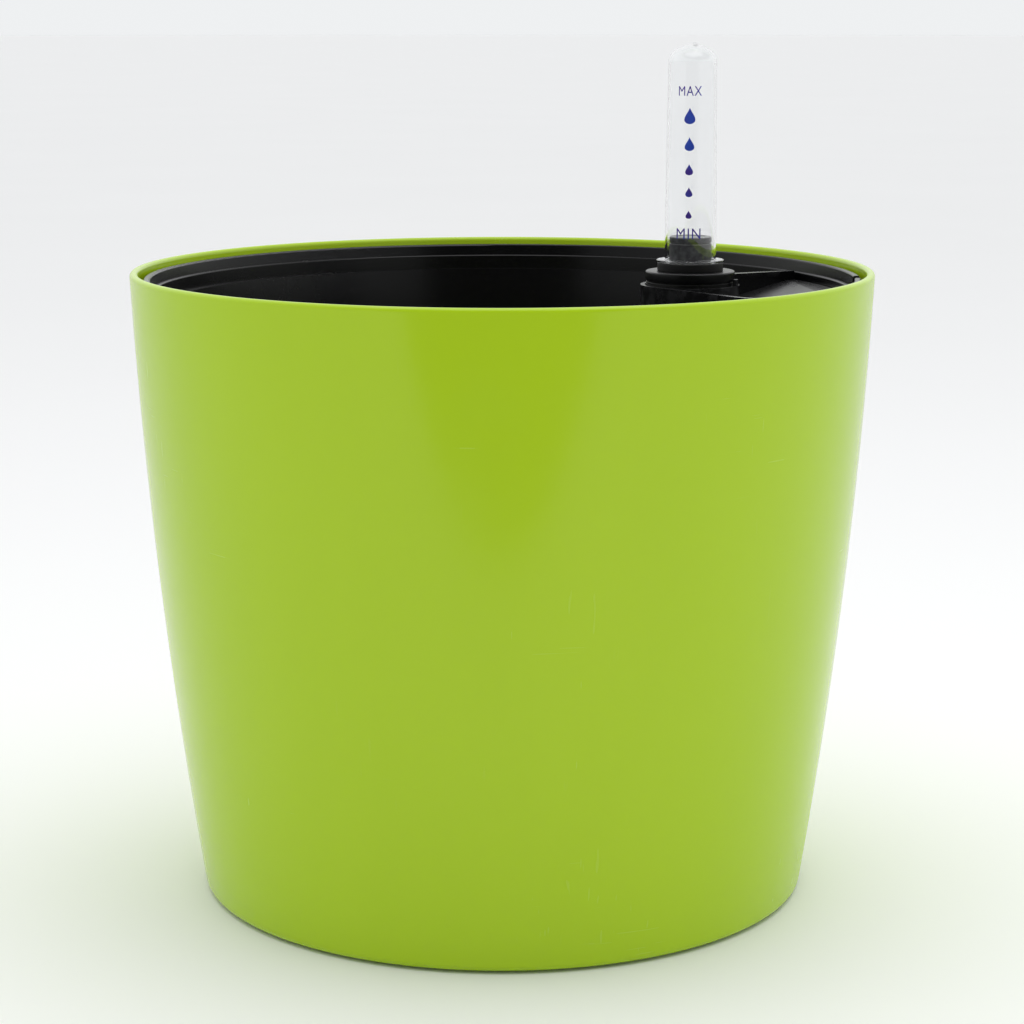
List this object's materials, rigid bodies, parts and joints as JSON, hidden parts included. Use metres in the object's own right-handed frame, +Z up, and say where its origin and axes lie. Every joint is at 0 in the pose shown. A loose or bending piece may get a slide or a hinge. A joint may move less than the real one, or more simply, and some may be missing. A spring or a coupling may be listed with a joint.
{
  "type": "self watering planter",
  "caption": "Round tapered plant pot with a lift-out liner over a water reservoir, a filler hopper, and a float gauge in a clear tube that shows the water level.",
  "frame": {"origin": "centre of the pot's foot ring, on the surface that it stands on", "axes": "+Z up through the pot's opening; seen along +Y with +X to the right, the gauge and the hopper are at the back right"},
  "size_m": [0.1999, 0.1998, 0.2296],
  "materials": {
    "pot_green": "high gloss, lime green",
    "liner_black": "satin, fine moulded grain",
    "hopper_black": "semi-gloss",
    "seal_rubber": "matte",
    "clear_plastic": "clear, polished",
    "guide_plastic": "satin",
    "float_foam": "closed-cell foam",
    "marker_grey": "satin, dark grey"
  },
  "bodies": {
    "pot": {"outer_pot": "pot_green"},
    "plug": {"drain_plug": "seal_rubber", "drain_plug_seal": "seal_rubber"},
    "liner": {"inner_liner": "liner_black", "wick_cup_1": "liner_black", "wick_cup_2": "liner_black", "wick_cup_3": "liner_black", "filler_hopper": "hopper_black", "filler_shaft": "liner_black"},
    "gauge": {"gauge_base": "hopper_black", "gauge_gasket": "seal_rubber", "tube_grommet": "seal_rubber", "rod_guide": "guide_plastic", "guide_tube": "guide_plastic", "guide_strainer": "guide_plastic"},
    "tube": {"sight_tube": "clear_plastic"},
    "float": {"float_body": "float_foam", "float_clip": "guide_plastic", "float_rod": "guide_plastic", "level_marker": "marker_grey"}
  },
  "joints": [
    {"name": "drain_plug_pull", "type": "slide", "parent": "pot", "child": "plug", "axis": [0, 0, 1], "range_m": [0, 0.02]},
    {"name": "liner_lift", "type": "slide", "parent": "pot", "child": "liner", "axis": [0, 0, 1], "range_m": [0, 0.175]},
    {"name": "gauge_lift", "type": "slide", "parent": "liner", "child": "gauge", "axis": [0, 0, 1], "range_m": [0, 0.17]},
    {"name": "tube_pull", "type": "slide", "parent": "gauge", "child": "tube", "axis": [0, 0, 1], "range_m": [0, 0.065]},
    {"name": "float_rise", "type": "slide", "parent": "gauge", "child": "float", "axis": [0, 0, 1], "range_m": [0, 0.04]}
  ]
}
